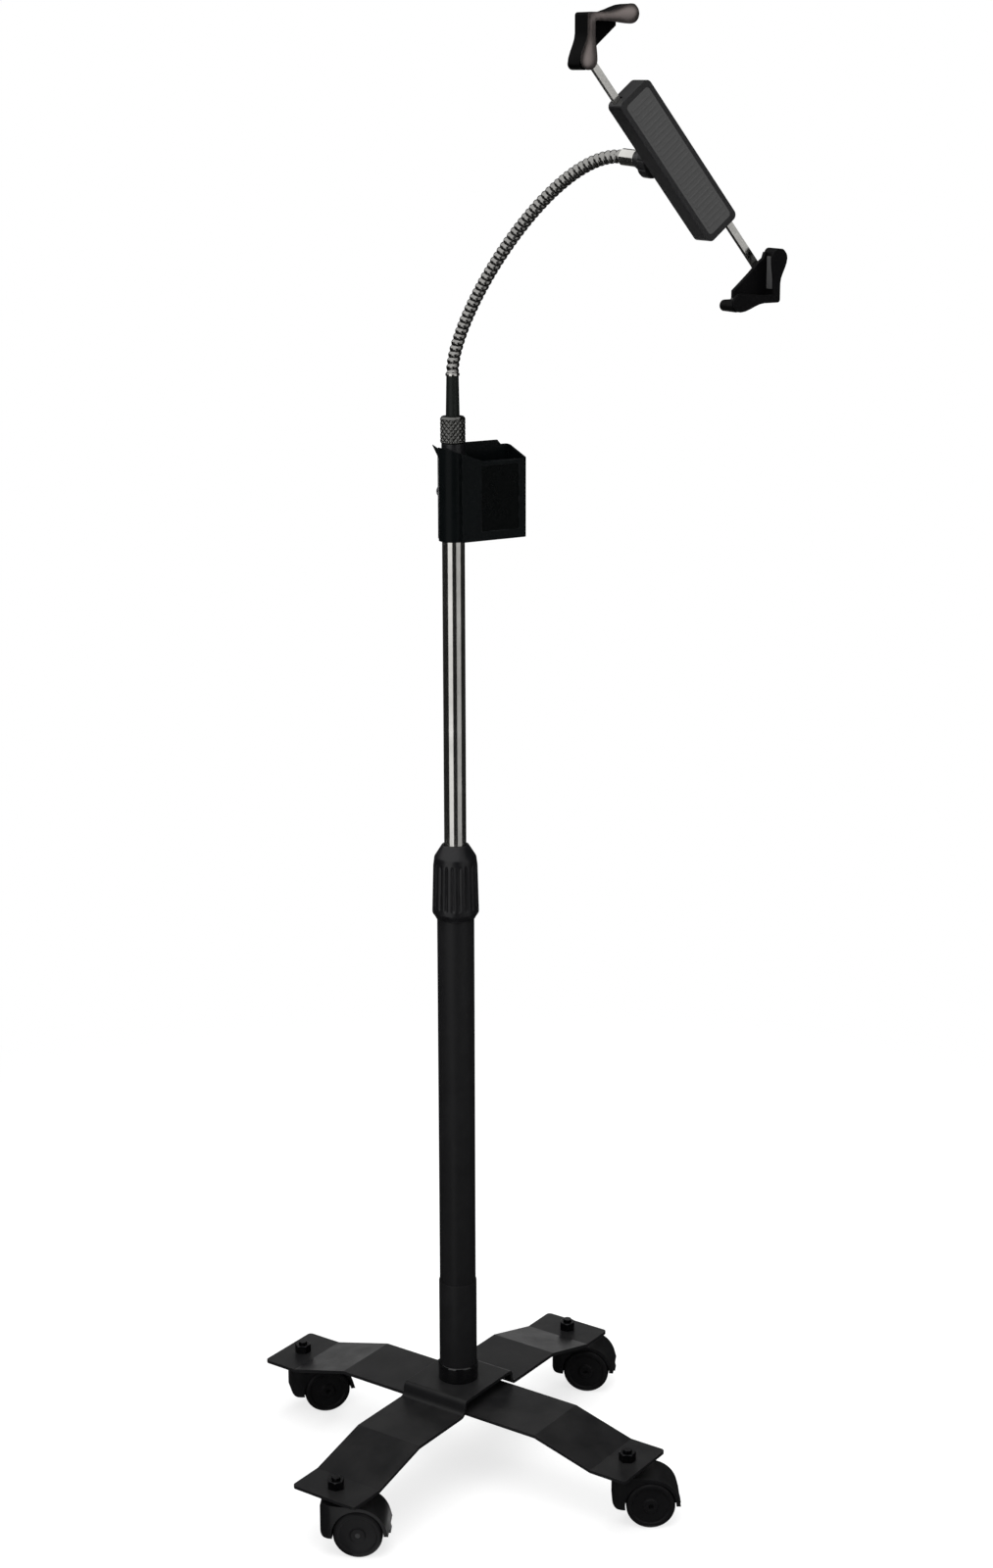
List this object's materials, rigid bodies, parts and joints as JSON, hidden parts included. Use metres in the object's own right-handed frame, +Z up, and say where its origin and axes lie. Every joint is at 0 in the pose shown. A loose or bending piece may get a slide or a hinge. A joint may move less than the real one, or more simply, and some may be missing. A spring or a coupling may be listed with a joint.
{
  "type": "tablet floor stand",
  "caption": "Floor stand on casters that holds a tablet: crossed steel legs, a telescopic mast with twist lock and side pocket, a flexible neck and a holder with corner grips.",
  "frame": {"origin": "on the floor, on the axis of the mast", "axes": "+Z up along the mast; the holder faces -Y at rest; +X to the right of someone who faces the tablet from the front"},
  "size_m": [0.5285, 0.5522, 1.6645],
  "materials": {
    "black_steel": "satin powder coat",
    "gloss_black": "gloss",
    "collar_black": "fine matte texture",
    "nylon": "natural nylon",
    "zinc_steel": "zinc plated",
    "black_zinc": "black zinc plate",
    "caster_black": "moulded",
    "wheel_black": "moulded nylon",
    "polished_tube": "polished",
    "pocket_black": "moulded satin",
    "sleeve_black": "matte sleeve",
    "wound_steel": "dark nickel plate",
    "holder_black": "moulded satin",
    "soft_grip": "soft touch coat",
    "pad_rubber": "matte"
  },
  "bodies": {
    "base": {"lower_leg_bar": "black_steel", "upper_leg_bar": "black_steel", "hub_spacer": "black_steel", "centre_bolt": "zinc_steel", "base_socket": "black_steel", "foot_ring": "gloss_black", "lower_tube": "black_steel", "collar_seat": "nylon", "collet_bush": "nylon", "stem_nuts": "black_zinc", "caster_stems": "black_zinc"},
    "collar": {"twist_collar": "collar_black"},
    "mast_guide": {"guide_bush": "nylon"},
    "mast": {"upper_tube": "polished_tube", "top_plug": "collar_black", "pocket": "pocket_black", "pocket_screw": "zinc_steel", "neck_sleeve": "sleeve_black", "neck_1": "wound_steel"},
    "nut": {"neck_nut": "polished_tube"},
    "caster_fr": {"hood_fr": "caster_black"},
    "wheels_fr": {"wheels_fr": "wheel_black", "axle_fr": "zinc_steel"},
    "caster_rr": {"hood_rr": "caster_black"},
    "wheels_rr": {"wheels_rr": "wheel_black", "axle_rr": "zinc_steel"},
    "caster_rl": {"hood_rl": "caster_black"},
    "wheels_rl": {"wheels_rl": "wheel_black", "axle_rl": "zinc_steel"},
    "caster_fl": {"hood_fl": "caster_black"},
    "wheels_fl": {"wheels_fl": "wheel_black", "axle_fl": "zinc_steel"},
    "neck_2": {"neck_2": "wound_steel"},
    "neck_3": {"neck_3": "wound_steel"},
    "neck_4": {"neck_4": "wound_steel"},
    "neck_5": {"neck_5": "wound_steel"},
    "neck_6": {"neck_6": "wound_steel"},
    "neck_7": {"neck_7": "wound_steel"},
    "neck_8": {"neck_8": "wound_steel", "neck_ferrule": "polished_tube"},
    "cup": {"ball_cup": "holder_black"},
    "lock_ring": {"lock_ring": "holder_black"},
    "stud": {"ball_stud": "polished_tube", "stud_clip": "zinc_steel"},
    "holder": {"case_back": "holder_black", "case_front": "holder_black", "case_screws": "zinc_steel", "rest_pad": "pad_rubber"},
    "upper_reach": {"upper_arm": "polished_tube", "upper_grip": "soft_grip", "upper_pads": "pad_rubber", "upper_grip_screw": "zinc_steel"},
    "lower_reach": {"lower_arm": "polished_tube", "lower_grip": "soft_grip", "lower_pads": "pad_rubber", "lower_grip_screw": "zinc_steel"},
    "pinion": {"pinion": "nylon"},
    "knob": {"arm_knob": "holder_black"}
  },
  "joints": [
    {"name": "caster_fr_swivel", "type": "hinge", "parent": "base", "child": "caster_fr", "pos_m": [0.09974, -0.21389, 0.05], "axis": [0, 0, 1], "continuous": true},
    {"name": "wheels_fr_roll", "type": "hinge", "parent": "caster_fr", "child": "wheels_fr", "pos_m": [0.12226, -0.22689, 0.028], "axis": [0.5, 0.866, 0], "continuous": true},
    {"name": "caster_rr_swivel", "type": "hinge", "parent": "base", "child": "caster_rr", "pos_m": [0.21389, 0.09974, 0.05], "axis": [0, 0, 1], "continuous": true},
    {"name": "wheels_rr_roll", "type": "hinge", "parent": "caster_rr", "child": "wheels_rr", "pos_m": [0.23438, 0.08373, 0.028], "axis": [0.6157, 0.788, 0], "continuous": true},
    {"name": "caster_rl_swivel", "type": "hinge", "parent": "base", "child": "caster_rl", "pos_m": [-0.09974, 0.21389, 0.05], "axis": [0, 0, 1], "continuous": true},
    {"name": "wheels_rl_roll", "type": "hinge", "parent": "caster_rl", "child": "wheels_rl", "pos_m": [-0.07475, 0.20672, 0.028], "axis": [0.2756, 0.9613, 0], "continuous": true},
    {"name": "caster_fl_swivel", "type": "hinge", "parent": "base", "child": "caster_fl", "pos_m": [-0.21389, -0.09974, 0.05], "axis": [0, 0, 1], "continuous": true},
    {"name": "wheels_fl_roll", "type": "hinge", "parent": "caster_fl", "child": "wheels_fl", "pos_m": [-0.19233, -0.11428, 0.028], "axis": [0.5592, 0.829, 0], "continuous": true},
    {"name": "collar_twist", "type": "hinge", "parent": "base", "child": "collar", "pos_m": [0, 0, 0.718], "axis": [0, 0, 1], "range_deg": [0, 180]},
    {"name": "mast_slide", "type": "slide", "parent": "base", "child": "mast_guide", "axis": [0, 0, 1], "range_m": [-0.33, 0.15]},
    {"name": "mast_turn", "type": "hinge", "parent": "mast_guide", "child": "mast", "pos_m": [0, 0, 0.486], "axis": [0, 0, 1], "range_deg": [-180, 180]},
    {"name": "neck_nut_turn", "type": "hinge", "parent": "mast", "child": "nut", "pos_m": [0, 0, 1.229], "axis": [0, 0, 1], "range_deg": [0, 270]},
    {"name": "neck_bend_1", "type": "hinge", "parent": "mast", "child": "neck_2", "pos_m": [0.00396, -0.00982, 1.33124], "axis": [0.9272, 0.3746, 0], "range_deg": [-24, 12]},
    {"name": "neck_sway_2", "type": "hinge", "parent": "neck_2", "child": "neck_3", "pos_m": [0.0113, -0.02798, 1.36821], "axis": [-0.3192, 0.7901, 0.5232], "range_deg": [-18, 18]},
    {"name": "neck_bend_3", "type": "hinge", "parent": "neck_3", "child": "neck_4", "pos_m": [0.02015, -0.04988, 1.40277], "axis": [0.9272, 0.3746, 0], "range_deg": [-24, 12]},
    {"name": "neck_sway_4", "type": "hinge", "parent": "neck_4", "child": "neck_5", "pos_m": [0.0301, -0.07451, 1.43513], "axis": [-0.2791, 0.6908, 0.667], "range_deg": [-18, 18]},
    {"name": "neck_bend_5", "type": "hinge", "parent": "neck_5", "child": "neck_6", "pos_m": [0.04109, -0.1017, 1.465], "axis": [0.9272, 0.3746, 0], "range_deg": [-24, 12]},
    {"name": "neck_sway_6", "type": "hinge", "parent": "neck_6", "child": "neck_7", "pos_m": [0.05323, -0.13174, 1.49148], "axis": [-0.2165, 0.5358, 0.8161], "range_deg": [-18, 18]},
    {"name": "neck_bend_7", "type": "hinge", "parent": "neck_7", "child": "neck_8", "pos_m": [0.06683, -0.1654, 1.51218], "axis": [0.9272, 0.3746, 0], "range_deg": [-24, 12]},
    {"name": "ball_swivel", "type": "hinge", "parent": "neck_8", "child": "cup", "pos_m": [0.09477, -0.23458, 1.517], "axis": [0.3732, -0.9237, -0.0872], "continuous": true},
    {"name": "lock_ring_turn", "type": "hinge", "parent": "cup", "child": "lock_ring", "pos_m": [0.09477, -0.23458, 1.517], "axis": [0.3732, -0.9237, -0.0872], "range_deg": [0, 120]},
    {"name": "ball_tilt", "type": "hinge", "parent": "cup", "child": "stud", "pos_m": [0.09477, -0.23458, 1.517], "axis": [-0.2274, 0, -0.9738], "range_deg": [-62, 14]},
    {"name": "holder_roll", "type": "hinge", "parent": "stud", "child": "holder", "pos_m": [0.09477, -0.26558, 1.517], "axis": [0, -1, 0], "continuous": true},
    {"name": "upper_arm_slide", "type": "slide", "parent": "holder", "child": "upper_reach", "axis": [-0.6331, 0, 0.7741], "range_m": [-0.052, 0.018]},
    {"name": "lower_arm_slide", "type": "slide", "parent": "holder", "child": "lower_reach", "axis": [0.6331, 0, -0.7741], "range_m": [-0.052, 0.018]},
    {"name": "pinion_turn", "type": "hinge", "parent": "holder", "child": "pinion", "pos_m": [0.09477, -0.27288, 1.517], "axis": [0, -1, 0], "range_deg": [-125, 350]},
    {"name": "arm_knob_turn", "type": "hinge", "parent": "holder", "child": "knob", "pos_m": [0.13719, -0.25758, 1.4871], "axis": [0, -1, 0], "range_deg": [0, 180]}
  ],
  "couplings": [
    {"joint": "lower_arm_slide", "follows": "upper_arm_slide", "ratio": 1},
    {"joint": "pinion_turn", "follows": "upper_arm_slide", "rad_per_m": -114.29}
  ]
}
